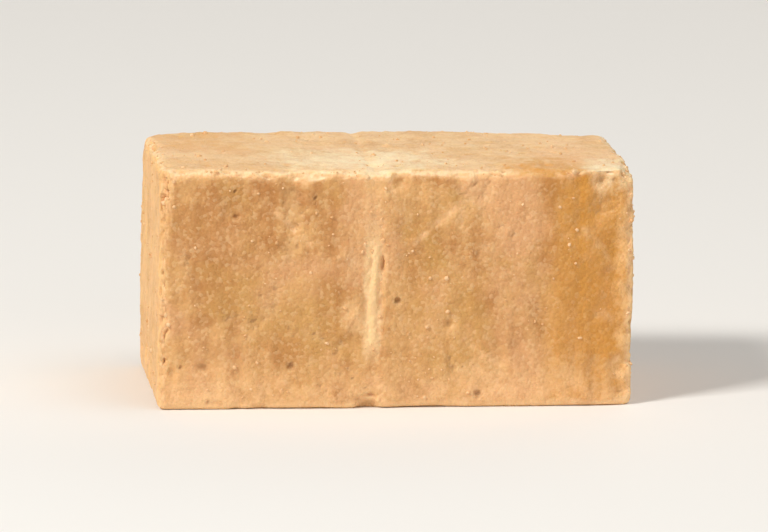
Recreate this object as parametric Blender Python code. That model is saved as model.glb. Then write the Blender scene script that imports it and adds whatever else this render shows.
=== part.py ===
# Toffee piece: two toffee cubes that the cutter left joined, one solid block lying on a long side.
# +X runs along the length, -Y is the front face, +Z is up, and the origin is under the middle.

import math
import random

import bpy
import numpy as np
from mathutils import Vector, noise

MM = 0.001

# Block as cut: two cubes long, one cube deep and high
LENGTH = 16.0 * MM
DEPTH = 7.9 * MM
HEIGHT = 8.1 * MM
SIZE = (LENGTH, DEPTH, HEIGHT)

# Out of square: how far a face leans, bows or steps over the whole block
TOP_FALL = 0.06 * MM        # the top drops towards the right end
BACK_TAPER = 0.12 * MM      # each end leans in towards the back
FACE_BOW = 0.05 * MM        # the long faces swell at mid height
HALF_STEP = 0.10 * MM       # the right cube sits back from the left one
STEP_RUN = 0.06             # half of the run of that step, as a share of the half length

# Worn edges
EDGE_RADIUS = 0.22 * MM
EDGE_SPREAD = 0.65          # share by which the radius varies along an edge
EDGE_WAVE = 1.3 * MM

# How squarely a point has to face one way before it counts as on that face, from part to full
FACE_RANGE = (0.60, 0.95)

# Score between the two cubes, on the front, top and back
SCORE_X = -0.78 * MM
SCORE_WIDTH = 0.16 * MM
SCORE_DEPTH = {"front": 0.20 * MM, "top": 0.07 * MM, "back": 0.30 * MM}
SCORE_LIP = 0.05 * MM       # crumbled rim on both sides of the score
SCORE_LIP_PLACE = 2.2       # from the middle of the score, in score widths
SCORE_LIP_BREAKS = (-0.2, 0.5)      # noise levels over which the rim goes from missing to whole
SCORE_WANDER = 0.10 * MM
SCORE_WAVE = 2.0 * MM
FRONT_SCORE_STARTS = (0.08, 0.40)   # shares of the height over which the front score deepens
FRONT_SCORE_FADES = (0.60, 0.92)    # and over which it fades again
FRONT_SCORE_LEFT = 0.25             # share of its depth that it keeps at the top

# Ridges that the blade dragged across the cut faces
RIDGE_HEIGHT = 0.024 * MM
RIDGE_PITCH = 0.8 * MM
RIDGE_SWAY = 0.25 * MM
RIDGE_WAVE = 3.0 * MM
RIDGE_SLANT = {"side": 0.22, "end": 0.12}   # how far they lean, as a slope
RIDGE_PATCH = (-0.25, 0.35)                 # noise levels over which they go from missing to full
END_RIDGE_SHARE = 0.4       # how high they are on the two ends, beside the long sides

# Grain of the broken sugar
GRAIN_HEIGHT = 0.035 * MM
GRAIN_SIZE = 0.55 * MM
LUMP_HEIGHT = 0.06 * MM
LUMP_SIZE = 2.6 * MM
BREAK_HEIGHT = 0.10 * MM    # roughness of a broken or sliced surface
BREAK_SIZE = 0.7 * MM
BREAK_RIM = 0.25 * MM       # over which that roughness sets in

# Surface mesh
CELL = 0.12 * MM
TRIANGLE_TARGET = 11200
BASE_SNAP = 0.02 * MM
BASE_FADE = (0.02 * MM, 0.30 * MM)  # heights over which the fine relief sets in above the base

SEED = 41
NOISE_SHIFT = {"wear": 3.1, "break": 5.0, "score": 8.0, "ridge": 14.0, "lip": 20.0, "patch": 31.0,
               "grain": 40.0, "lump": 50.0}
DAB_SHIFT = 7.0             # each dab's noise is shifted by this many times its radius in millimetres

# Colour of the toffee, linear RGB
TOFFEE_COLOUR = (0.66, 0.36, 0.135, 1.0)
TOFFEE_ROUGHNESS = 0.72

# Flats sliced or broken off. Each takes what lies beyond a plane, and the plane is given by the
# direction in which it faces and by a point on it, as shares of the half length, half depth and height.
SLICES = (
    {"faces": (0.14, -1.00, 0.02), "through": (0.63, -1.0, 0.5)},      # broad flat at the front right
    {"faces": (-1.00, -0.75, 0.12), "through": (-1.0, -0.97, 0.70)},   # worn front left edge
    {"faces": (0.62, -0.10, 1.00), "through": (0.91, -1.0, 1.0)},      # top corner, front right
    {"faces": (-0.85, 1.00, 0.90), "through": (-0.93, 1.0, 0.93)},     # top corner, back left
    {"faces": (1.00, 0.75, -0.50), "through": (0.96, 1.0, 0.12)},      # low corner, back right
    {"faces": (0.15, 1.00, 1.10), "through": (0.35, 0.965, 1.0)},      # worn back top edge
)

# Small bites along the edges
BITES_PER_METRE = 500
BITE_RADIUS = (0.12 * MM, 0.56 * MM)
BITE_OFFSET = (0.10, 0.55)  # how far outside both faces the middle of a bite is, in its radii
BITE_UNEVEN = 0.22
BITE_GRAIN = 0.30 * MM

# Air pits and stuck crumbs, spread over the faces
PIT_COUNT = 44
PIT_RADIUS = (0.13 * MM, 0.34 * MM)
PIT_DEPTH = 0.60            # of its radius
CRUMB_COUNT = 20
CRUMB_RADIUS = (0.12 * MM, 0.28 * MM)
CRUMB_HEIGHT = 0.38         # of its radius
DAB_UNEVEN = 0.55
DAB_SHARPNESS = 1.2         # power that turns the dab's dome into a slightly pointed one
SMALL_SIZE_SKEW = 1.7       # power that makes small bites, pits and crumbs commoner than large ones

# Crumbs that show beside the score on the front face: x and z
FRONT_CRUMBS = (
    (-1.90 * MM, 5.20 * MM),
    (-1.45 * MM, 3.20 * MM),
    (-1.70 * MM, 2.70 * MM),
    (0.60 * MM, 5.70 * MM),
)


def surface_grid(size, cell):
    """Points and quads over the whole surface of a box that stands on z = 0."""
    counts = [max(2, round(side / cell)) for side in size]
    index = {}
    points = []
    quads = []

    def vertex(place):
        if place not in index:
            index[place] = len(points)
            shares = [place[a] / counts[a] for a in range(3)]
            points.append((size[0] * (shares[0] - 0.5), size[1] * (shares[1] - 0.5), size[2] * shares[2]))
        return index[place]

    for axis in range(3):
        second, third = (axis + 1) % 3, (axis + 2) % 3
        for side in (0, counts[axis]):
            for i in range(counts[second]):
                for j in range(counts[third]):
                    corners = []
                    for step_i, step_j in ((0, 0), (1, 0), (1, 1), (0, 1)):
                        place = [0, 0, 0]
                        place[axis] = side
                        place[second] = i + step_i
                        place[third] = j + step_j
                        corners.append(vertex(tuple(place)))
                    quads.append(corners if side else corners[::-1])
    return np.array(points), quads


def rough(points, size, shift):
    """Smooth noise between -1 and 1 at each point, with lumps of about the given size."""
    offset = Vector((shift, 2.7 * shift, -1.3 * shift))
    return np.array([noise.noise(Vector(p) / size + offset) for p in points])


def smooth_step(value, low, high):
    share = np.clip((value - low) / (high - low), 0.0, 1.0)
    return share * share * (3.0 - 2.0 * share)


def facing(share):
    """1 on the face that the given part of the outward direction stands square to, 0 off it."""
    return smooth_step(share, *FACE_RANGE)


def round_edges(points):
    """The block with worn edges, and the outward direction at each point."""
    uneven = rough(points, EDGE_WAVE, NOISE_SHIFT["wear"])
    radius = EDGE_RADIUS * (1.0 + EDGE_SPREAD * uneven)[:, None]
    middle = np.array((0.0, 0.0, HEIGHT / 2))
    half = np.array(SIZE) / 2
    core = np.clip(points - middle, -(half - radius), half - radius)
    outward = points - middle - core
    outward /= np.linalg.norm(outward, axis=1)[:, None]
    return middle + core + radius * outward, outward


def lean_faces(points):
    """Bow, lean and step the faces, leaving the base plane where it is."""
    x, y, z = points.T.copy()
    along = x / (LENGTH / 2)
    across = y / (DEPTH / 2)
    up = z / HEIGHT
    z -= TOP_FALL * up * smooth_step(along, -1.0, 1.0)
    x -= BACK_TAPER * along * (across + 1.0) / 2
    y += FACE_BOW * across * np.sin(math.pi * up)
    y += HALF_STEP * smooth_step(along, -STEP_RUN, STEP_RUN)
    return np.column_stack((x, y, z))


def slice_off(points, normal, through):
    """Bring every point beyond a plane back to it, and roughen it there."""
    normal = np.array(normal) / np.linalg.norm(normal)
    beyond = (points - through) @ normal
    rim = smooth_step(beyond, 0.0, BREAK_RIM)
    relief = BREAK_HEIGHT * rim * rough(points, BREAK_SIZE, NOISE_SHIFT["break"])
    move = np.where(beyond > 0.0, beyond + relief, 0.0)
    return points - move[:, None] * normal


def bite_out(points, centre, radius):
    """Push the points inside a ball out to its surface, as a small bite."""
    offset = points - centre
    reach = np.linalg.norm(offset, axis=1)
    near = reach < (1.0 + BITE_UNEVEN) * radius
    if not near.any():
        return points
    wall = radius * (1.0 + BITE_UNEVEN * rough(points[near], BITE_GRAIN, radius / MM))
    share = np.maximum(wall / np.maximum(reach[near], 1e-9), 1.0)
    moved = points.copy()
    moved[near] = centre + offset[near] * share[:, None]
    return moved


def spread_low(limits, draw):
    """A size between two limits, more often a small one."""
    low, high = limits
    return low + (high - low) * draw.random() ** SMALL_SIZE_SKEW


def edge_bites(draw):
    """Centres and radii of the bites, just outside the twelve edges."""
    bites = []
    for axis in range(3):
        second, third = (axis + 1) % 3, (axis + 2) % 3
        for side_b in (-1, 1):
            for side_c in (-1, 1):
                for _ in range(round(SIZE[axis] * BITES_PER_METRE)):
                    radius = spread_low(BITE_RADIUS, draw)
                    centre = [0.0, 0.0, HEIGHT / 2]
                    centre[axis] += SIZE[axis] * draw.uniform(-0.5, 0.5)
                    centre[second] += side_b * (SIZE[second] / 2 + draw.uniform(*BITE_OFFSET) * radius)
                    centre[third] += side_c * (SIZE[third] / 2 + draw.uniform(*BITE_OFFSET) * radius)
                    bites.append((np.array(centre), radius))
    return bites


def score_relief(points, outward):
    """Depth of the score, less its crumbled rim, on the faces that it crosses."""
    x, z = points[:, 0], points[:, 2]
    middle = SCORE_X + SCORE_WANDER * rough(points, SCORE_WAVE, NOISE_SHIFT["score"])
    beside = np.abs(x - middle) / SCORE_WIDTH
    groove = np.exp(-beside ** 2)
    lip = np.exp(-((beside - SCORE_LIP_PLACE) ** 2))
    lip *= smooth_step(rough(points, GRAIN_SIZE, NOISE_SHIFT["lip"]), *SCORE_LIP_BREAKS)
    up = z / HEIGHT
    front = SCORE_DEPTH["front"] * facing(-outward[:, 1]) * smooth_step(up, *FRONT_SCORE_STARTS)
    front *= 1.0 - (1.0 - FRONT_SCORE_LEFT) * smooth_step(up, *FRONT_SCORE_FADES)
    top = SCORE_DEPTH["top"] * facing(outward[:, 2])
    back = SCORE_DEPTH["back"] * facing(outward[:, 1])
    depth = front + top + back
    share = depth / max(SCORE_DEPTH.values())
    return depth * groove - SCORE_LIP * share * lip


def ridge_relief(points, outward):
    """Low ridges that the blade left, upright on the long faces and lengthwise on the ends."""
    x, y, z = points.T
    sway = RIDGE_SWAY * rough(points, RIDGE_WAVE, NOISE_SHIFT["ridge"])
    turn = 2 * math.pi / RIDGE_PITCH
    upright = np.sin(turn * (x + RIDGE_SLANT["side"] * z + sway))
    lengthwise = np.sin(turn * (z + RIDGE_SLANT["end"] * y + sway))
    on_long_side = facing(np.abs(outward[:, 1]))
    on_end = facing(np.abs(outward[:, 0]))
    patch = smooth_step(rough(points, RIDGE_WAVE, NOISE_SHIFT["patch"]), *RIDGE_PATCH)
    return RIDGE_HEIGHT * patch * (upright * on_long_side + END_RIDGE_SHARE * lengthwise * on_end)


def dab(points, centre, radius):
    """An uneven dab, about 1 at its centre and 0 at its rim."""
    offset = points - centre
    reach = np.linalg.norm(offset, axis=1) / radius
    near = reach < 1.0 + DAB_UNEVEN
    reach[near] *= 1.0 + DAB_UNEVEN * rough(points[near], radius, DAB_SHIFT * radius / MM)
    return np.clip(1.0 - reach ** 2, 0.0, 1.0) ** DAB_SHARPNESS


def spots(points, outward, count, sizes, draw):
    """Places and radii of spots spread over every face but the base."""
    free = np.flatnonzero(outward[:, 2] > -0.5)
    return [(points[draw.choice(free)], spread_low(sizes, draw)) for _ in range(count)]


def shape_block():
    """Points and quads of the finished surface, before it is thinned out."""
    draw = random.Random(SEED)
    points, quads = surface_grid(SIZE, CELL)
    points, outward = round_edges(points)
    points = lean_faces(points)
    half_size = np.array((LENGTH / 2, DEPTH / 2, HEIGHT))
    for cut in SLICES:
        points = slice_off(points, cut["faces"], half_size * cut["through"])
    for centre, radius in edge_bites(draw):
        points = bite_out(points, centre, radius)

    relief = -score_relief(points, outward) + ridge_relief(points, outward)
    relief += GRAIN_HEIGHT * rough(points, GRAIN_SIZE, NOISE_SHIFT["grain"])
    relief += LUMP_HEIGHT * rough(points, LUMP_SIZE, NOISE_SHIFT["lump"])
    for centre, radius in spots(points, outward, PIT_COUNT, PIT_RADIUS, draw):
        relief -= PIT_DEPTH * radius * dab(points, centre, radius)
    crumbs = spots(points, outward, CRUMB_COUNT, CRUMB_RADIUS, draw)
    for x, z in FRONT_CRUMBS:
        crumbs.append((np.array((x, -DEPTH / 2, z)), max(CRUMB_RADIUS)))
    for centre, radius in crumbs:
        relief += CRUMB_HEIGHT * radius * dab(points, centre, radius)
    off_base = smooth_step(points[:, 2], *BASE_FADE)
    return points + (relief * off_base)[:, None] * outward, quads


def toffee_material():
    material = bpy.data.materials.new("toffee")
    material.use_nodes = True
    shader = material.node_tree.nodes["Principled BSDF"]
    shader.inputs["Base Color"].default_value = TOFFEE_COLOUR
    shader.inputs["Roughness"].default_value = TOFFEE_ROUGHNESS
    shader.inputs["Metallic"].default_value = 0.0
    return material


def thin_out(block):
    """Decimate the block to its triangle count, keeping the triangles where the surface turns."""
    decimate = block.modifiers.new("thin_out", "DECIMATE")
    decimate.ratio = TRIANGLE_TARGET / (2 * len(block.data.polygons))
    decimate.use_collapse_triangulate = True
    bpy.context.view_layer.update()
    evaluated = block.evaluated_get(bpy.context.evaluated_depsgraph_get())
    mesh = bpy.data.meshes.new_from_object(evaluated)
    block.modifiers.remove(decimate)
    block.data = mesh


def set_on_base(mesh):
    """Flatten the base to z = 0 and bring the middle of the bounding box over the origin."""
    flat = np.empty(3 * len(mesh.vertices))
    mesh.vertices.foreach_get("co", flat)
    points = flat.reshape(-1, 3)
    low, high = points.min(axis=0), points.max(axis=0)
    points[:, :2] -= (low[:2] + high[:2]) / 2
    points[np.abs(points[:, 2]) < BASE_SNAP, 2] = 0.0
    mesh.vertices.foreach_set("co", points.ravel())
    mesh.update()


def build_toffee():
    points, quads = shape_block()
    mesh = bpy.data.meshes.new("toffee_piece")
    mesh.from_pydata(points.tolist(), [], quads)
    block = bpy.data.objects.new("toffee_piece", mesh)
    bpy.context.scene.collection.objects.link(block)
    thin_out(block)
    set_on_base(block.data)
    block.data.materials.clear()
    block.data.materials.append(toffee_material())
    return block


for old in list(bpy.data.objects):
    bpy.data.objects.remove(old)

build_toffee()
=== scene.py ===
import math

import bpy
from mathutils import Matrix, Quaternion, Vector


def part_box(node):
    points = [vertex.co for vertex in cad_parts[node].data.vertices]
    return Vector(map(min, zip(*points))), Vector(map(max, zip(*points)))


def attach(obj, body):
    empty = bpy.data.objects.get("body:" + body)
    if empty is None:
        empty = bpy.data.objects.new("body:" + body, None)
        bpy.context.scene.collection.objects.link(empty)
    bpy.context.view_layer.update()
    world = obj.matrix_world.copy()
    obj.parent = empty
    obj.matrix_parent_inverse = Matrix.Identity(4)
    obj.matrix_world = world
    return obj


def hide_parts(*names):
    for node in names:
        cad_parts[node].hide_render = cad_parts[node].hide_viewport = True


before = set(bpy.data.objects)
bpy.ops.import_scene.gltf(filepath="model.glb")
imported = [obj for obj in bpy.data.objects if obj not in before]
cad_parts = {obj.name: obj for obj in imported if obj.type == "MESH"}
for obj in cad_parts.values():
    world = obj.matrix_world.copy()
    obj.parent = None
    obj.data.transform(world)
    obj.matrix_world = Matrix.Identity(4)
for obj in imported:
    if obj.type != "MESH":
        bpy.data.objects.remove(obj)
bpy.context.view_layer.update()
print("frame loaded:", sorted(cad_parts))

mm = 0.001
boxLow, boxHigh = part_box("toffee_piece")
blockSize = boxHigh - boxLow
middle = (boxLow + boxHigh) / 2


class Wire:
    # a node's output, so that sums on it read as Python

    def __init__(self, bench, socket):
        self.bench = bench
        self.socket = socket

    def out(self, name):
        # another output of the same node
        usable = [s for s in self.socket.node.outputs if s.name == name and not s.is_unavailable]
        return Wire(self.bench, usable[0])

    def __add__(self, other):
        return self.bench.sum("ADD", self, other)

    def __radd__(self, other):
        return self.bench.sum("ADD", other, self)

    def __sub__(self, other):
        return self.bench.sum("SUBTRACT", self, other)

    def __rsub__(self, other):
        return self.bench.sum("SUBTRACT", other, self)

    def __mul__(self, other):
        return self.bench.sum("MULTIPLY", self, other)

    def __rmul__(self, other):
        return self.bench.sum("MULTIPLY", other, self)

    def __truediv__(self, other):
        return self.bench.sum("DIVIDE", self, other)

    def __rtruediv__(self, other):
        return self.bench.sum("DIVIDE", other, self)

    def __pow__(self, other):
        return self.bench.sum("POWER", self, other)

    def __neg__(self):
        return self.bench.sum("MULTIPLY", self, -1.0)

    def __abs__(self):
        return self.bench.sum("ABSOLUTE", self)

    def atLeast(self, other):
        return self.bench.sum("MAXIMUM", self, other)

    def atMost(self, other):
        return self.bench.sum("MINIMUM", self, other)


class Bench:
    # builds the nodes of one tree, for geometry or for a material

    def __init__(self, tree):
        self.tree = tree

    def node(self, kind, settings=None, feeds=None):
        made = self.tree.nodes.new(kind)
        for name, value in (settings or {}).items():
            setattr(made, name, value)
        for key, value in (feeds or {}).items():
            if isinstance(key, int):
                socket = made.inputs[key]
            else:
                socket = [s for s in made.inputs if s.name == key and not s.is_unavailable][0]
            if isinstance(value, Wire):
                self.tree.links.new(value.socket, socket)
            else:
                socket.default_value = value
        usable = [s for s in made.outputs if not s.is_unavailable]
        return Wire(self, usable[0]) if usable else made

    def sum(self, operation, *values):
        return self.node("ShaderNodeMath", {"operation": operation}, dict(enumerate(values)))

    def vector(self, operation, *values):
        return self.node("ShaderNodeVectorMath", {"operation": operation}, dict(enumerate(values)))

    def scaled(self, vector, factor):
        settings = {"operation": "SCALE"}
        return self.node("ShaderNodeVectorMath", settings, {"Vector": vector, "Scale": factor})

    def step(self, value, low, high):
        # 0 below low, 1 above high, smooth between; low may be the larger one
        settings = {"interpolation_type": "SMOOTHSTEP"}
        ends = {"From Min": low, "From Max": high, "To Min": 0.0, "To Max": 1.0}
        return self.node("ShaderNodeMapRange", settings, dict(ends, Value=value))

    def noise(self, place, size, detail=2.0, roughness=0.5):
        # lumps of about the given size, from 0 to 1
        feeds = {"Vector": place, "Scale": 1.0 / size, "Detail": detail, "Roughness": roughness}
        return self.node("ShaderNodeTexNoise", None, feeds)

    def cells(self, place, size=1.0):
        # distance from the middle of the nearest cell; its colour is drawn once for each cell
        return self.node("ShaderNodeTexVoronoi", None, {"Vector": place, "Scale": 1.0 / size})

    def paint(self, share, first, second):
        # a colour between two, by a share
        settings = {"data_type": "RGBA"}
        return self.node("ShaderNodeMix", settings, {"Factor": share, "A": first, "B": second})

    def split(self, vector):
        parts = self.node("ShaderNodeSeparateXYZ", None, {"Vector": vector})
        return parts, parts.out("Y"), parts.out("Z")

    def joined(self, x, y, z):
        return self.node("ShaderNodeCombineXYZ", None, {"X": x, "Y": y, "Z": z})

    def blurred(self, vector, steps):
        # a vector averaged over so many steps along the mesh
        return self.node("GeometryNodeBlurAttribute", {"data_type": "FLOAT_VECTOR"},
                         {"Value": vector, "Iterations": steps})


def geometryTree(name, inputs):
    # a Geometry Nodes tree with an input for each name; the value gives its kind
    kinds = {float: "NodeSocketFloat", int: "NodeSocketInt", tuple: "NodeSocketVector"}
    tree = bpy.data.node_groups.new(name, "GeometryNodeTree")
    tree.interface.new_socket("Geometry", in_out="INPUT", socket_type="NodeSocketGeometry")
    tree.interface.new_socket("Geometry", in_out="OUTPUT", socket_type="NodeSocketGeometry")
    for label, value in inputs.items():
        kind = kinds.get(type(value), "NodeSocketMaterial")
        tree.interface.new_socket(label, in_out="INPUT", socket_type=kind)
    return Bench(tree)


def finishTree(bench, geometry, given):
    # a plain mesh that stays inside the frame's box, with its material
    geometry = bench.node("GeometryNodeRealizeInstances", None, {"Geometry": geometry})
    place = bench.node("GeometryNodeInputPosition")
    place = bench.vector("MAXIMUM", place, given.out("Low Corner"))
    place = bench.vector("MINIMUM", place, given.out("High Corner"))
    geometry = bench.node("GeometryNodeSetPosition", None, {"Geometry": geometry, "Position": place})
    geometry = bench.node("GeometryNodeSetMaterial", None,
                          {"Geometry": geometry, "Material": given.out("Material")})
    bench.node("NodeGroupOutput", None, {"Geometry": geometry})


def treeInputs(looks, material=None):
    # what a tree is given: the piece's own sizes, the box it stays in, and its material
    return dict(looks, **{"Low Corner": tuple(boxLow), "High Corner": tuple(boxHigh), "Material": material})


def asPlainMesh(name, obj):
    # the evaluated object as a new plain mesh
    bpy.context.view_layer.update()
    evaluated = obj.evaluated_get(bpy.context.evaluated_depsgraph_get())
    mesh = bpy.data.meshes.new_from_object(evaluated)
    mesh.name = name
    return mesh


def throughNodes(name, sourceMesh, bench, inputs):
    # runs a mesh through a Geometry Nodes tree, as an object with a plain mesh
    obj = bpy.data.objects.new(name, sourceMesh)
    bpy.context.scene.collection.objects.link(obj)
    modifier = obj.modifiers.new(name, "NODES")
    modifier.node_group = bench.tree
    identifiers = {item.name: item.identifier for item in bench.tree.interface.items_tree
                   if item.in_out == "INPUT"}
    for label, value in inputs.items():
        modifier[identifiers[label]] = value
    mesh = asPlainMesh(name, obj)
    obj.modifiers.remove(modifier)
    obj.data = mesh
    return obj


# Toffee block: the frame's solid at a finer grain, then its fine relief

remeshLooks = {
    "weld": 0.001 * mm,
    "voxel": 0.084 * mm,              # keeps the piece under 200,000 triangles
    "easing": 0.5,
    "easingSteps": 3,
}
blockLooks = {
    "Edge Reach": 7,                  # how many mesh steps in from an edge its wear is felt
    "Fray Size": 0.7 * mm,
    "Fray": 0.20,                     # how unevenly that wear ends
    "Hollow Reach": 20,
    "Hollow Rise": 0.075 * mm,        # depth at which a hollow counts in full
    "Lump Size": 1.2 * mm,
    "Lump Height": 0.040 * mm,
    "Grain Size": 0.34 * mm,
    "Grain Height": 0.024 * mm,
    "Grain Reach": 3,                 # mesh steps over which the fine rise is measured
    "Sugar Size": 0.26 * mm,          # rounded crystals, one to a cell
    "Sugar Height": 0.045 * mm,
    "Sugar On Cuts": 0.20,            # share of that height left on the smooth cut faces
    "Sugar On Torn": 0.7,             # and what torn patches and edges add to it
    "Sugar On Edges": 0.5,
    "Drag Pitch": 0.42 * mm,
    "Drag Length": 7.0 * mm,
    "Drag Height": 0.034 * mm,
    "Torn Size": 2.3 * mm,            # shallow patches where the surface came away with the blade
    "Torn Depth": 0.05 * mm,
    "Pinhole Spacing": 0.90 * mm,
    "Pinhole Wobble": 0.4 * mm,
    "Pinhole Bend": 0.25,             # share of the spacing by which they are pulled out of round
    "Pinhole Radius": 0.19 * mm,
    "Pinhole Depth": 0.12 * mm,
    "Crumble Size": 0.34 * mm,
    "Crumble Height": 0.09 * mm,
    "Chip Size": 1.1 * mm,
    "Chip Height": 0.22 * mm,
    "Score Reach": 0.75 * mm,         # how far from the score a dip still belongs to it
    "Score Sway": 0.12 * mm,          # how far its powder strays to either side
    "Powder Width": 0.30 * mm,        # half of the pale band along the score
    "Powder Fray": 1.1,               # how ragged the band is, in those widths
    "Powder Height": 0.045 * mm,
    "Powder Level": 70,               # mesh steps over which the score is filled level
    "Scratch Width": 0.17 * mm,
    "Scratch Depth": 0.04 * mm,
    "Flat Base": 0.45 * mm,           # the relief fades out below this height
    "Seed": 7,
}
blockMasks = {                        # the values between which each mask goes from 0 to 1
    "onFace": (0.70, 0.90),           # how far the blurred normal points out of the front or the back
    "turned": (0.985, 0.84),          # the largest part of the blurred normal
    "nearScore": (1.0, 0.4),          # distance from the score, in Score Reaches
    "scoreDip": (-0.05, -0.50),       # height over the surroundings, in Hollow Rises
    "hollow": (-0.15, -1.0),
    "notHollow": (-0.30, 0.0),
    "torn": (0.59, 0.66),             # noise, here and in the next three
    "crumbled": (0.42, 0.62),
    "chipped": (0.56, 0.68),
    "scratchWhole": (0.40, 0.58),
    "holeDraw": (0.62, 1.0),          # a cell's own draw: most cells have no pinhole
    "hole": (1.0, 0.35),              # distance from its middle, in its radii
    "powder": (1.15, 0.75),           # distance from the score, in Powder Widths
    "scratch": (1.0, 0.2),            # distance from the scratch, in Scratch Widths
    "aboveBase": (0.04, 1.0),         # height, in Flat Bases
}
noiseLooks = {
    "shift": (1.0, 2.3, -1.7),        # a new seed moves the noise this way
    "shiftStep": 10 * mm,
    "cellMean": 0.45,                 # about the mean distance in a cell, so that crystals raise nothing
    "leastRadius": 0.001,             # of a pinhole, so that nothing is divided by zero
}
dragLooks = {
    "onTop": (0.6, 0.9),              # how far the normal points up or down where streaks lie lengthwise
    "shareOnTop": 0.25,               # how strong they are there
}
scoreLooks = {
    "x": -0.84 * mm,                  # where the two cubes meet
    "powderStarts": (1.2 * mm, 2.4 * mm),
    "powderThins": (5.2 * mm, 6.4 * mm),
    "thinned": 0.25,                  # what is left of the powder above that height
    "onBack": 0.45,
    "openAbove": (7.8 * mm, 7.2 * mm),    # the powder leaves the notch at the top open
    "fill": 1.5,                      # makes up for the score's own share in the level
    "smooth": 0.6,                    # share of the powder's height that isn't crumbled
    "straightOut": 3,                 # turns its relief away from the slanted walls of the score
    "dusted": 0.3,                    # how pale the score is where it has no band
}
frontScratches = [                    # x and z of both ends, on the front face
    ((-4.8 * mm, 7.4 * mm), (-3.0 * mm, 5.6 * mm)),
    ((0.4 * mm, 5.5 * mm), (1.9 * mm, 6.8 * mm)),
    ((2.3 * mm, 2.3 * mm), (3.7 * mm, 1.2 * mm)),
    ((2.1 * mm, 7.4 * mm), (2.2 * mm, 6.2 * mm)),
]


def fineBlockMesh():
    # the solid's loose triangles joined, remeshed evenly and eased
    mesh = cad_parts["toffee_piece"].data.copy()
    obj = bpy.data.objects.new("blockSource", mesh)
    bpy.context.scene.collection.objects.link(obj)
    weld = obj.modifiers.new("weld", "WELD")
    weld.merge_threshold = remeshLooks["weld"]
    remesh = obj.modifiers.new("remesh", "REMESH")
    remesh.mode = "VOXEL"
    remesh.voxel_size = remeshLooks["voxel"]
    remesh.adaptivity = 0.0
    ease = obj.modifiers.new("ease", "SMOOTH")
    ease.factor = remeshLooks["easing"]
    ease.iterations = remeshLooks["easingSteps"]
    fine = asPlainMesh("toffeeBlock", obj)
    bpy.data.objects.remove(obj)
    return fine


def segmentDistance(x, z, start, end):
    # distance in the plane of the front face from a straight scratch
    alongX, alongZ = end[0] - start[0], end[1] - start[1]
    lengthSquared = alongX ** 2 + alongZ ** 2
    share = ((x - start[0]) * alongX + (z - start[1]) * alongZ) / lengthSquared
    share = share.atLeast(0.0).atMost(1.0)
    awayX = x - start[0] - share * alongX
    awayZ = z - start[1] - share * alongZ
    return (awayX ** 2 + awayZ ** 2) ** 0.5


def dragStreaks(bench, place, normal, pitch, length):
    # streaks left by the blade: upright on the sides and ends, faint and lengthwise on top
    x, y, z = bench.split(place)
    upright = bench.noise(bench.joined(x / pitch, y / pitch, z / length), 1.0) - 0.5
    lengthwise = bench.noise(bench.joined(x / length, y / pitch, z / pitch), 1.0) - 0.5
    onTop = bench.step(abs(bench.split(normal)[2]), *dragLooks["onTop"])
    return upright * (1 - onTop) + lengthwise * onTop * dragLooks["shareOnTop"]


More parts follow.
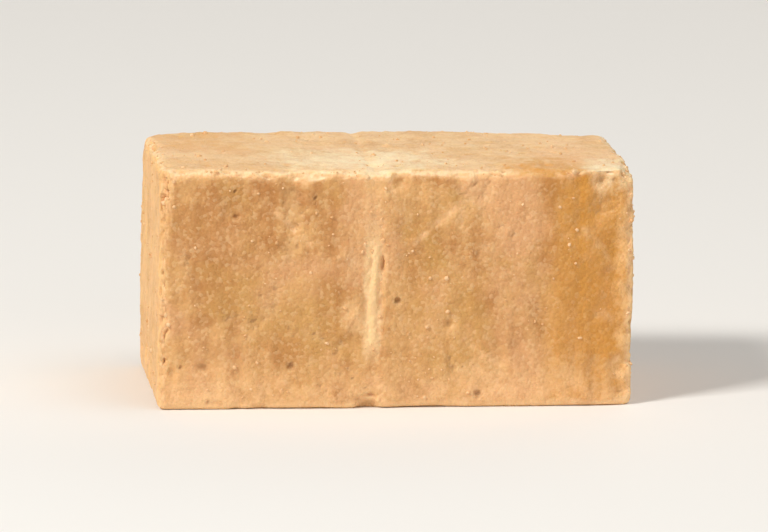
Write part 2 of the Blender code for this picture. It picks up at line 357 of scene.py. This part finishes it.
class Relief:
    # the block's geometry tree, and what it reads at each point

    def __init__(self):
        self.bench = geometryTree("toffeeRelief", treeInputs(blockLooks))
        self.given = self.bench.node("NodeGroupInput")
        self.bumps = {label: self.given.out(label) for label in blockLooks}
        self.place = self.bench.node("GeometryNodeInputPosition")
        self.normal = self.bench.node("GeometryNodeInputNormal")
        self.x, self.y, self.z = self.bench.split(self.place)
        seedShift = self.bumps["Seed"] * noiseLooks["shiftStep"]
        seedShift = self.bench.scaled(self.bench.joined(*noiseLooks["shift"]), seedShift)
        self.noisePlace = self.bench.vector("ADD", self.place, seedShift)

    def mask(self, name, value):
        return self.bench.step(value, *blockMasks[name])

    def noisePlaceIn(self, label):
        # the place that noise is read at, with one of the sizes as its unit
        return self.bench.scaled(self.noisePlace, 1.0 / self.bumps[label])

    def lumpy(self, label, detail, roughness=0.5):
        return self.bench.noise(self.noisePlaceIn(label), 1.0, detail, roughness)

    def standsOut(self, steps):
        # height over the average of its surroundings, out to so many mesh steps
        above = self.bench.vector("SUBTRACT", self.place, self.bench.blurred(self.place, steps))
        return self.bench.vector("DOT_PRODUCT", above, self.normal)

    def pinholes(self):
        # holes of many sizes, at most one to a cell
        wobble = self.lumpy("Pinhole Wobble", 2.0).out("Color")
        wobble = self.bench.scaled(wobble, self.bumps["Pinhole Bend"])
        cells = self.bench.cells(self.bench.vector("ADD", self.noisePlaceIn("Pinhole Spacing"), wobble))
        cellDraw = self.bench.split(cells.out("Color"))[0]
        radius = self.bumps["Pinhole Radius"] / self.bumps["Pinhole Spacing"]
        radius = radius * self.mask("holeDraw", cellDraw)
        return self.mask("hole", cells / (radius + noiseLooks["leastRadius"]))

    def scratches(self, front):
        # the scratches on the front, broken up by the grain
        scratch = 0.0
        for start, end in frontScratches:
            away = segmentDistance(self.x, self.z, start, end) / self.bumps["Scratch Width"]
            scratch = self.mask("scratch", away).atLeast(scratch)
        return scratch * front * self.mask("scratchWhole", self.lumpy("Crumble Size", 3.0, 0.6))

    def scorePowder(self, front, back):
        # the pale band along the score, and how far it fills the score along Y
        sway = (self.lumpy("Lump Size", 3.0) - 0.5) * self.bumps["Score Sway"]
        beside = abs(self.x - scoreLooks["x"] + sway) / self.bumps["Powder Width"]
        fray = (self.lumpy("Crumble Size", 4.0, 0.7) - 0.5) * self.bumps["Powder Fray"]
        thinned = (1 - scoreLooks["thinned"]) * self.bench.step(self.z, *scoreLooks["powderThins"])
        alongFront = self.bench.step(self.z, *scoreLooks["powderStarts"]) * (1 - thinned)
        band = self.mask("powder", beside + fray) * (front * alongFront + back * scoreLooks["onBack"])
        levelY = self.bench.split(self.bench.blurred(self.place, self.bumps["Powder Level"]))[1]
        belowNotch = self.bench.step(self.z, *scoreLooks["openAbove"])
        return band, (levelY - self.y) * band * belowNotch * scoreLooks["fill"]


def blockTree():
    relief = Relief()
    bench, given, bumps = relief.bench, relief.given, relief.bumps
    mask, lumpy = relief.mask, relief.lumpy
    broadY = bench.split(bench.blurred(relief.normal, bumps["Hollow Reach"]))[1]
    front = mask("onFace", -broadY)
    back = mask("onFace", broadY)

    # dips: those of the score, and the other hollows
    rise = relief.standsOut(bumps["Hollow Reach"]) / bumps["Hollow Rise"]
    nearScore = mask("nearScore", abs(relief.x - scoreLooks["x"]) / bumps["Score Reach"])
    scoreDip = mask("scoreDip", rise) * nearScore
    hollow = mask("hollow", rise) * (1 - nearScore)

    # 1 on an edge or a slanted chip, fading to 0 on the flat faces
    turned = bench.vector("ABSOLUTE", bench.blurred(relief.normal, bumps["Edge Reach"]))
    turnedX, turnedY, turnedZ = bench.split(turned)
    squareness = turnedX.atLeast(turnedY).atLeast(turnedZ)
    fray = lumpy("Fray Size", 3.0, 0.6) - 0.5
    edge = mask("turned", squareness + fray * bumps["Fray"]) * mask("notHollow", rise)

    lumps = lumpy("Lump Size", 2.0) - 0.5
    grain = lumpy("Grain Size", 3.0, 0.6) - 0.5
    sugar = noiseLooks["cellMean"] - bench.cells(relief.noisePlaceIn("Sugar Size"))
    drag = dragStreaks(bench, relief.noisePlace, relief.normal, bumps["Drag Pitch"], bumps["Drag Length"])
    torn = mask("torn", lumpy("Torn Size", 5.0, 0.62)) * (1 - edge)
    crumbled = mask("crumbled", lumpy("Crumble Size", 3.0, 0.6))
    chipped = mask("chipped", lumpy("Chip Size", 3.0, 0.6))
    band, filling = relief.scorePowder(front, back)
    pinhole = relief.pinholes() * (1 - edge) * (1 - band)
    scratch = relief.scratches(front)

    # height of the relief: noise and cells go about half a unit either way, so they count twice
    sugarShare = bumps["Sugar On Cuts"] + torn * bumps["Sugar On Torn"] + edge * bumps["Sugar On Edges"]
    powderShare = scoreLooks["smooth"] + crumbled * (1 - scoreLooks["smooth"])
    height = lumps * 2 * bumps["Lump Height"] + grain * 2 * bumps["Grain Height"]
    height = height + sugar * 2 * bumps["Sugar Height"] * sugarShare
    height = height + drag * 2 * bumps["Drag Height"] * (1 - edge) * (1 - torn) * (1 - band)
    height = height - torn * bumps["Torn Depth"] + band * powderShare * bumps["Powder Height"]
    height = height - pinhole * bumps["Pinhole Depth"]
    height = height - (crumbled * bumps["Crumble Height"] + chipped * bumps["Chip Height"]) * edge
    height = height - scratch * bumps["Scratch Depth"]
    height = height * mask("aboveBase", relief.z / bumps["Flat Base"])

    # along the normal, or straight out of the face in the powder
    straight = bench.scaled(bench.joined(0.0, back - front, 0.0), band * scoreLooks["straightOut"])
    outward = bench.vector("NORMALIZE", bench.vector("ADD", relief.normal, straight))
    offset = bench.vector("ADD", bench.scaled(outward, height), bench.joined(0.0, filling, 0.0))

    def store(geometry, name, value):
        return bench.node("GeometryNodeStoreNamedAttribute", {"data_type": "FLOAT", "domain": "POINT"},
                          {"Geometry": geometry, "Name": name, "Value": value})

    # what the material and the crumbs read; the fine rise is measured on the finished relief
    marks = {"edgeWear": edge, "scoreLine": band.atLeast(scoreDip * scoreLooks["dusted"]), "hollow": hollow,
             "pinhole": pinhole, "scratch": scratch, "torn": torn}
    geometry = given
    for name, value in marks.items():
        geometry = store(geometry, name, value)
    geometry = bench.node("GeometryNodeSetPosition", None, {"Geometry": geometry, "Offset": offset})
    geometry = store(geometry, "fineRise", relief.standsOut(bumps["Grain Reach"]) / bumps["Grain Height"])
    geometry = bench.node("GeometryNodeSetShadeSmooth", None, {"Geometry": geometry, "Shade Smooth": True})
    finishTree(bench, geometry, given)
    return bench


# Toffee: golden tan, mottled, paler and powdery on every edge

toffeeColours = {                     # linear
    "tan": (0.760, 0.418, 0.157, 1.0),
    "caramel": (0.545, 0.240, 0.067, 1.0),
    "gold": (0.640, 0.338, 0.094, 1.0),
    "rose": (0.795, 0.422, 0.190, 1.0),
    "amber": (0.690, 0.305, 0.047, 1.0),
    "peach": (1.000, 0.620, 0.310, 1.0),
    "honey": (1.000, 0.600, 0.260, 1.0),
    "chalk": (1.000, 0.660, 0.335, 1.0),
    "cream": (0.970, 0.700, 0.400, 1.0),
    "white": (1.000, 0.850, 0.560, 1.0),
    # painted shade for pinholes, dents and hollows, and also the colour of the few dark crystals
    "pit": (0.330, 0.125, 0.030, 1.0),
}
toffeeLooks = {
    "crystalSize": 0.11 * mm,
    "bumpHeight": 0.030 * mm,
    "bumpGrain": 0.6,
    "bumpCrystals": 0.7,
    "streakPitch": 0.6 * mm,
    "streakLength": 9.0 * mm,
    "roughness": (0.44, 0.70),
    "specular": 0.45,
    "translucence": 0.20,
    "translucenceColour": (1.0, 0.55, 0.28),
    "translucenceReach": 0.40 * mm,
    "flatFrom": (4.5 * mm, 5.9 * mm),     # the amber flat at the front right starts between these
    "rubbedBelow": (2.0 * mm, 0.2 * mm),  # pale band above the base, and where it is palest
    "rubbedRagged": 1.6 * mm,
    "blotchRagged": 5.0,
    "blotchBorder": (1.6, -0.8),      # squared distance from its middle, in its half sizes
}
toffeePatterns = {                    # size, detail, roughness, and how far the pattern is moved
    "mottle": (3.4 * mm, 3.0, 0.55, (0, 0, 0)),
    "blotch": (1.5 * mm, 4.0, 0.60, (31 * mm, 7 * mm, 3 * mm)),
    "speck": (0.75 * mm, 3.0, 0.60, (3 * mm, 29 * mm, 13 * mm)),
    "gold": (1.9 * mm, 3.0, 0.50, (11 * mm, 37 * mm, 23 * mm)),
    "rose": (2.6 * mm, 2.0, 0.50, (5 * mm, 17 * mm, 43 * mm)),
    "ragged": (0.6 * mm, 5.0, 0.75, (0, 0, 0)),
    "powder": (0.40 * mm, 5.0, 0.72, (0, 0, 0)),
    "drift": (1.6 * mm, 3.0, 0.50, (19 * mm, 5 * mm, 41 * mm)),
    "sheen": (0.7 * mm, 3.0, 0.50, (0, 0, 0)),
}
toffeeMasks = {                       # the values between which each mask goes from 0 to 1
    "front": (0.5, 0.9),              # how far the normal points that way, in these
    "leftEnd": (0.6, 0.95),
    "leftCorner": (0.20, 0.45),
    "eitherEnd": (0.55, 0.85),
    "level": (0.6, 0.95),
    "topFace": (0.3, 0.7),
    "topEdge": (0.3, 0.8),
    "notBack": (0.45, 0.10),
    "browned": (0.575, 0.405),        # the mixed tone
    "gold": (0.50, 0.64),             # a pattern's noise, in these
    "rose": (0.48, 0.66),
    "powder": (0.36, 0.60),
    "drift": (0.40, 0.60),
    "paleCrystal": (0.60, 1.0),       # a crystal's own draw, in both
    "darkCrystal": (0.35, 0.0),
    "crest": (0.1, 1.2),              # the fine rise
    "dent": (-0.20, -1.3),
}
toneShares = {"mottle": 0.28, "blotch": 0.38, "speck": 0.34, "streak": 0.34}
toffeeShares = {                      # how much each layer covers of what is under it
    "brownedOffFront": 0.7,
    "gold": 0.70,
    "rose": 0.75,
    "amber": 0.88,
    "amberStreaks": 1.3,
    "paleCrystals": 0.24,
    "paleLostOnAmber": 0.16,
    "darkCrystals": 0.10,
    "highlightOnLeftEnd": 1.3,             # painted highlight on the left end, where the light from the upper left falls, in shares of the top's dust
    "dustAndLeftHighlight": 0.20,                     # real dust on the top and the painted highlight on the left end, and what powder and drifts add there
    "dustInPowder": 0.22,
    "dustInDrifts": 0.22,
    "dustOnCrests": 0.18,
    "dustOnTorn": 0.12,
    "rubbed": 0.16,
    "rubbedPowder": 0.42,
    # painted shade: how far pinholes, dents and hollows are darkened
    "pits": 0.6,
    "dentShade": 0.7,                     # painted shade in dents, as shares of a pinhole's, like the hollows
    "hollowShade": 0.25,
    "scratches": 0.8,                 # as a share of an edge's wear
    "worn": 0.60,                     # and the rest of it is powdery, as on the score
    "paleOffLeftCorner": 0.75,           # how much of the pale edge colour that corner lacks, leaving it darker
    "score": 0.85,
}
frontBlotches = [                     # on the front face: colour, share, x and z, half width and half height
    ("rose", 0.80, (3.9 * mm, 5.0 * mm), (1.1 * mm, 2.8 * mm)),
    ("gold", 0.75, (0.8 * mm, 4.6 * mm), (0.8 * mm, 2.2 * mm)),
    ("caramel", 0.60, (0.6 * mm, 5.0 * mm), (0.35 * mm, 1.1 * mm)),
    ("caramel", 0.70, (2.6 * mm, 5.9 * mm), (0.35 * mm, 0.9 * mm)),
    ("caramel", 0.85, (-6.2 * mm, 5.9 * mm), (1.9 * mm, 2.2 * mm)),
    ("caramel", 0.55, (-2.4 * mm, 6.2 * mm), (0.5 * mm, 1.2 * mm)),
    ("gold", 0.90, (-3.0 * mm, 2.7 * mm), (2.4 * mm, 1.6 * mm)),
    ("caramel", 0.70, (-3.9 * mm, 2.0 * mm), (1.0 * mm, 0.7 * mm)),
    ("tan", 0.90, (-3.6 * mm, 4.1 * mm), (0.9 * mm, 0.6 * mm)),
    ("peach", 0.60, (-1.5 * mm, 3.2 * mm), (0.5 * mm, 0.8 * mm)),
    ("peach", 0.40, (-1.6 * mm, 5.1 * mm), (0.4 * mm, 0.5 * mm)),
    ("peach", 0.70, (-6.5 * mm, 0.4 * mm), (1.6 * mm, 0.6 * mm)),
    ("tan", 0.70, (-6.1 * mm, 1.6 * mm), (1.2 * mm, 0.9 * mm)),
    ("peach", 0.60, (3.0 * mm, 0.9 * mm), (0.9 * mm, 1.0 * mm)),
    ("tan", 0.80, (6.0 * mm, 1.2 * mm), (1.6 * mm, 0.9 * mm)),
    ("honey", 0.90, (7.9 * mm, 4.0 * mm), (0.55 * mm, 5.0 * mm)),
    ("cream", 0.90, (7.3 * mm, 8.0 * mm), (0.8 * mm, 0.9 * mm)),
]
topBlotches = [                       # the same on the top, with x and y
    ("tan", 0.90, (-6.0 * mm, 1.8 * mm), (1.9 * mm, 2.4 * mm)),
    ("white", 0.80, (-1.2 * mm, -1.9 * mm), (3.2 * mm, 2.4 * mm)),
    ("amber", 0.88, (5.2 * mm, -3.3 * mm), (1.8 * mm, 2.0 * mm)),
    ("white", 1.00, (7.1 * mm, -3.4 * mm), (0.8 * mm, 1.8 * mm)),
]


def paintBlotches(bench, colour, blotches, across, along, ragged, where):
    # soft patches with ragged borders, laid over a colour one after the other
    for name, share, (centreAcross, centreAlong), (halfAcross, halfAlong) in blotches:
        away = ((across - centreAcross) / halfAcross) ** 2 + ((along - centreAlong) / halfAlong) ** 2
        away = away + ragged * toffeeLooks["blotchRagged"]
        mask = bench.step(away, *toffeeLooks["blotchBorder"]) * where
        colour = bench.paint(mask * share, colour, toffeeColours[name])
    return colour


def toffeeMaterial():
    looks, colours, shares = toffeeLooks, toffeeColours, toffeeShares
    material = bpy.data.materials.new("toffee")
    material.use_nodes = True
    bench = Bench(material.node_tree)
    shader = material.node_tree.nodes["Principled BSDF"]
    place = bench.node("ShaderNodeTexCoord").out("Object")
    normal = bench.node("ShaderNodeNewGeometry").out("Normal")
    x, y, z = bench.split(place)
    normalX, normalY, normalZ = bench.split(normal)

    def mask(name, value):
        return bench.step(value, *toffeeMasks[name])

    def stored(name):
        return bench.node("ShaderNodeAttribute", {"attribute_name": name}).out("Fac")

    front = mask("front", -normalY)
    leftEnd = mask("leftEnd", -normalX)
    leftCorner = mask("leftCorner", -normalX) * mask("leftCorner", -normalY)
    edge, scoreLine, pinhole, scratch = (stored(n) for n in ("edgeWear", "scoreLine", "pinhole", "scratch"))
    fineRise, torn, hollow = (stored(n) for n in ("fineRise", "torn", "hollow"))
    pattern = {}
    for name, (size, detail, roughness, shift) in toffeePatterns.items():
        pattern[name] = bench.noise(bench.vector("ADD", place, shift), size, detail, roughness)
    pattern["streak"] = dragStreaks(bench, place, normal, looks["streakPitch"], looks["streakLength"])
    ragged = pattern["ragged"] - 0.5
    powder = mask("powder", pattern["powder"])

    # the mass of the toffee
    tone = sum(pattern[name] * share for name, share in toneShares.items())
    browned = shares["brownedOffFront"] + (1 - shares["brownedOffFront"]) * front
    colour = bench.paint(mask("browned", tone) * browned, colours["tan"], colours["caramel"])
    for name in ("gold", "rose"):
        colour = bench.paint(mask(name, pattern[name]) * shares[name], colour, colours[name])
    amber = shares["amber"] + pattern["streak"] * shares["amberStreaks"]
    amber = bench.step(x, *looks["flatFrom"]) * front * (1 - edge) * amber
    amber = amber.atLeast(0.0).atMost(1.0)
    colour = bench.paint(amber, colour, colours["amber"])
    colour = paintBlotches(bench, colour, frontBlotches, x, z, ragged, front)

    # single crystals, a few paler or darker
    crystals = bench.cells(place, looks["crystalSize"])
    crystalDraw = bench.split(crystals.out("Color"))[0]
    pale = mask("paleCrystal", crystalDraw) * (shares["paleCrystals"] - shares["paleLostOnAmber"] * amber)
    colour = bench.paint(pale, colour, colours["cream"])
    colour = bench.paint(mask("darkCrystal", crystalDraw) * shares["darkCrystals"], colour, colours["pit"])

    # sugar dust on crests, torn patches and the top; a painted highlight on the left end, where the light
    # from the upper left falls; and a pale band low on the sides
    topDustAndLeftHighlight = mask("level", normalZ) + leftEnd * shares["highlightOnLeftEnd"]
    topDustAndLeftHighlight = topDustAndLeftHighlight * (shares["dustAndLeftHighlight"] + powder * shares["dustInPowder"]
                     + mask("drift", pattern["drift"]) * shares["dustInDrifts"])
    dustAndLeftHighlight = mask("crest", fineRise) * shares["dustOnCrests"] + torn * shares["dustOnTorn"] + topDustAndLeftHighlight
    colour = bench.paint(dustAndLeftHighlight, colour, bench.paint(leftEnd, colours["cream"], colours["honey"]))
    rubbed = bench.step(z + ragged * looks["rubbedRagged"], *looks["rubbedBelow"])
    rubbed = rubbed * (shares["rubbed"] + powder * shares["rubbedPowder"])
    colour = bench.paint(rubbed, colour, colours["peach"])

    # painted shade in pinholes, dents and hollows, then the worn edges, the scratches, the patches on top
    # and the score
    paintedShade = pinhole.atLeast(mask("dent", fineRise) * shares["dentShade"]).atLeast(hollow * shares["hollowShade"])
    colour = bench.paint(paintedShade * shares["pits"], colour, colours["pit"])
    # edge powder: cream on upward edges facing the front and the lights, warmer peach on edges facing the
    # back, in shade; partly dust settling upward, partly painted light
    upward = mask("topEdge", normalZ) * mask("notBack", normalY)
    edgePowderAndLightColour = bench.paint(upward, colours["peach"], colours["cream"])
    edgePowderAndLightColour = bench.paint(mask("eitherEnd", abs(normalX)), edgePowderAndLightColour, colours["honey"])
    worn = edge.atLeast(scratch * shares["scratches"]) * (shares["worn"] + (1 - shares["worn"]) * powder)
    colour = bench.paint(worn * (1 - shares["paleOffLeftCorner"] * leftCorner), colour, edgePowderAndLightColour)
    colour = paintBlotches(bench, colour, topBlotches, x, y, ragged, mask("topFace", normalZ))
    scored = scoreLine * (shares["score"] + (1 - shares["score"]) * powder)
    colour = bench.paint(scored, colour, colours["chalk"])
    bench.tree.links.new(colour.socket, shader.inputs["Base Color"])

    low, high = looks["roughness"]
    roughness = low + (high - low) * pattern["sheen"]
    bench.tree.links.new(roughness.socket, shader.inputs["Roughness"])
    grain = bench.noise(place, looks["crystalSize"] / 2, 3.0, 0.7)
    relief = grain * looks["bumpGrain"] - crystals * looks["bumpCrystals"]
    bump = bench.node("ShaderNodeBump", None,
                      {"Strength": 1.0, "Distance": looks["bumpHeight"], "Height": relief})
    bench.tree.links.new(bump.socket, shader.inputs["Normal"])
    shader.inputs["Subsurface Weight"].default_value = looks["translucence"]
    shader.inputs["Subsurface Radius"].default_value = looks["translucenceColour"]
    shader.inputs["Subsurface Scale"].default_value = looks["translucenceReach"]
    shader.inputs["Specular IOR Level"].default_value = looks["specular"]
    return material


def makeBlock(material):
    block = throughNodes("toffeeBlock", fineBlockMesh(), blockTree(), treeInputs(blockLooks, material))
    print("toffee block:", len(block.data.polygons), "faces")
    return block


# Crumbs of sugar that cling to the block, most of them along its edges

crumbLooks = {
    "Per Square Metre": 22.0e6,
    "On Faces": 0.12,                 # share of that density away from the edges
    "On Score": 0.35,                 # and on the powder along the score
    "Between Drifts": 0.15,
    "Drift Size": 1.6 * mm,
    "Clear Base": 0.5 * mm,           # none below this height
    "Smallest": 0.022 * mm,
    "Largest": 0.085 * mm,
    "Seed": 3,
}
crumbMasks = {                        # the values between which each mask goes from 0 to 1
    "drift": (0.42, 0.62),            # noise
    "aboveBase": (0.4, 1.0),          # height, in Clear Bases
}
crumbStretch = (0.6, 1.3)             # each grain's own length, width and height, drawn between these
crumbColours = {                      # linear colours
    "pale": (0.90, 0.61, 0.34, 1.0),
    "tan": (0.74, 0.42, 0.18, 1.0),
    "patchSize": 0.5 * mm,
    "patchBorder": (0.35, 0.65),
    "roughness": (0.5, 0.8),
}


def crumbTree():
    bench = geometryTree("clingingCrumbs", treeInputs(crumbLooks))
    given = bench.node("NodeGroupInput")
    seed = given.out("Seed")

    def stored(name):
        return bench.node("GeometryNodeInputNamedAttribute", {"data_type": "FLOAT"}, {"Name": name})

    place = bench.node("GeometryNodeInputPosition")
    height = bench.split(place)[2]
    drift = bench.noise(bench.scaled(place, 1.0 / given.out("Drift Size")), 1.0, 3.0)
    share = given.out("On Faces") + stored("edgeWear") + stored("scoreLine") * given.out("On Score")
    share = share * (given.out("Between Drifts") + bench.step(drift, *crumbMasks["drift"]))
    share = share * bench.step(height / given.out("Clear Base"), *crumbMasks["aboveBase"])
    density = share * given.out("Per Square Metre")
    points = bench.node("GeometryNodeDistributePointsOnFaces", {"distribute_method": "RANDOM"},
                        {"Mesh": given, "Density": density, "Seed": seed})

    def drawn(kind, low, high, extra):
        # a random value for each crumb; the extra keeps the draws apart
        return bench.node("FunctionNodeRandomValue", {"data_type": kind},
                          {"Min": low, "Max": high, "Seed": seed + extra})

    turn = drawn("FLOAT_VECTOR", (0.0, 0.0, 0.0), (math.tau, math.tau, math.tau), 1)
    least, most = crumbStretch
    shape = drawn("FLOAT_VECTOR", (least, least, least), (most, most, most), 2)
    draw = drawn("FLOAT", 0.0, 1.0, 3)      # cubed below, so that most crumbs are small
    size = given.out("Smallest") + (given.out("Largest") - given.out("Smallest")) * draw * draw * draw
    grain = bench.node("GeometryNodeMeshIcoSphere", None, {"Radius": 1.0, "Subdivisions": 1})
    crumbs = bench.node("GeometryNodeInstanceOnPoints", None, {
        "Points": points, "Instance": grain, "Rotation": turn, "Scale": bench.scaled(shape, size)})
    finishTree(bench, crumbs, given)
    return bench


def crumbMaterial():
    material = bpy.data.materials.new("sugarCrumb")
    material.use_nodes = True
    bench = Bench(material.node_tree)
    shader = material.node_tree.nodes["Principled BSDF"]
    place = bench.node("ShaderNodeTexCoord").out("Object")
    patch = bench.noise(place, crumbColours["patchSize"], 3.0)
    paler = bench.step(patch, *crumbColours["patchBorder"])
    colour = bench.paint(paler, crumbColours["tan"], crumbColours["pale"])
    bench.tree.links.new(colour.socket, shader.inputs["Base Color"])
    low, high = crumbColours["roughness"]
    roughness = low + (high - low) * patch
    bench.tree.links.new(roughness.socket, shader.inputs["Roughness"])
    return material


def makeCrumbs(block, material):
    crumbs = throughNodes("toffeeCrumbs", block.data, crumbTree(), treeInputs(crumbLooks, material))
    print("toffee crumbs:", len(crumbs.data.polygons), "faces")
    return crumbs


# Floor, light and camera

stageLooks = {
    "floorColour": (0.86, 0.85, 0.83, 1.0),
    "floorRoughness": 0.9,
    "floorSpecular": 0.2,
    "reach": 0.5,                     # half of the floor's width, and how far behind the wall stands
    "backdropRadius": 0.12,
    "backdropSteps": 12,
    "fill": 0.62,                     # share of the picture's width that the block takes
    "azimuth": -6.8,
    "elevation": 10.5,
    "roll": 0.85,                     # the block lay a little out of level
    "lens": 500.0,                    # far away, as the picture's camera was from so small a thing
    "clip": (0.005, 5.0),
}
softboxes = {                         # place, width, power in watts, colour
    "keyLight": ((-0.20, -0.13, 0.22), 0.08, 0.80, (1.00, 0.97, 0.92)),
    "topLight": ((0.10, -0.04, 0.30), 0.20, 0.30, (1.00, 0.98, 0.95)),
    "frontFill": ((0.10, -0.34, 0.10), 0.26, 0.20, (1.00, 0.97, 0.94)),
    "backFill": ((0.16, 0.30, 0.12), 0.26, 0.22, (1.00, 0.93, 0.84)),
}
skyLooks = {"colour": (1.0, 0.98, 0.95, 1.0), "strength": 0.20}


def makeFloor():
    # one pale sheet: floor, a rounded rise behind, and a wall
    reach, radius = stageLooks["reach"], stageLooks["backdropRadius"]
    back = reach - radius
    profile = [(-reach, 0.0)]
    steps = stageLooks["backdropSteps"]
    for step in range(steps + 1):
        angle = math.radians(90 * step / steps)
        profile.append((back + radius * math.sin(angle), radius * (1 - math.cos(angle))))
    profile.append((reach, reach))
    points = [(side * reach, y, z) for y, z in profile for side in (-1, 1)]
    quads = [(2 * i, 2 * i + 1, 2 * i + 3, 2 * i + 2) for i in range(len(profile) - 1)]
    mesh = bpy.data.meshes.new("paleFloor")
    mesh.from_pydata(points, [], quads)
    mesh.shade_smooth()
    floor = bpy.data.objects.new("paleFloor", mesh)
    bpy.context.scene.collection.objects.link(floor)
    material = bpy.data.materials.new("palePaper")
    material.use_nodes = True
    shader = material.node_tree.nodes["Principled BSDF"]
    shader.inputs["Base Color"].default_value = stageLooks["floorColour"]
    shader.inputs["Roughness"].default_value = stageLooks["floorRoughness"]
    shader.inputs["Specular IOR Level"].default_value = stageLooks["floorSpecular"]
    mesh.materials.append(material)
    return floor


def addSoftbox(name, place, size, power, colour):
    light = bpy.data.lights.new(name, "AREA")
    light.shape = "SQUARE"
    light.size = size
    light.energy = power
    light.color = colour
    lamp = bpy.data.objects.new(name, light)
    lamp.location = place
    lamp.rotation_euler = (middle - Vector(place)).to_track_quat("-Z", "Y").to_euler()
    bpy.context.scene.collection.objects.link(lamp)


def makeCamera():
    data = bpy.data.cameras.new("camera")
    data.lens = stageLooks["lens"]
    data.clip_start, data.clip_end = stageLooks["clip"]
    camera = bpy.data.objects.new("camera", data)
    azimuth = math.radians(stageLooks["azimuth"])
    elevation = math.radians(stageLooks["elevation"])
    width = blockSize.x / stageLooks["fill"]
    distance = width * data.lens / data.sensor_width
    level = math.cos(elevation)
    away = Vector((math.sin(azimuth) * level, -math.cos(azimuth) * level, math.sin(elevation)))
    camera.location = middle + distance * away
    turn = (-away).to_track_quat("-Z", "Y") @ Quaternion((0, 0, 1), math.radians(stageLooks["roll"]))
    camera.rotation_euler = turn.to_euler()
    bpy.context.scene.collection.objects.link(camera)
    bpy.context.scene.camera = camera


def makeLight():
    world = bpy.data.worlds.new("studio")
    world.use_nodes = True
    background = world.node_tree.nodes["Background"]
    background.inputs["Color"].default_value = skyLooks["colour"]
    background.inputs["Strength"].default_value = skyLooks["strength"]
    bpy.context.scene.world = world
    for name, (place, size, power, colour) in softboxes.items():
        addSoftbox(name, place, size, power, colour)
    bpy.context.scene.view_settings.view_transform = "Standard"
    bpy.context.scene.view_settings.look = "None"


block = makeBlock(toffeeMaterial())
crumbs = makeCrumbs(block, crumbMaterial())
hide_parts("toffee_piece")
for piece in (block, crumbs):
    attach(piece, "root")
makeFloor()
makeLight()
makeCamera()
print("light and camera set")
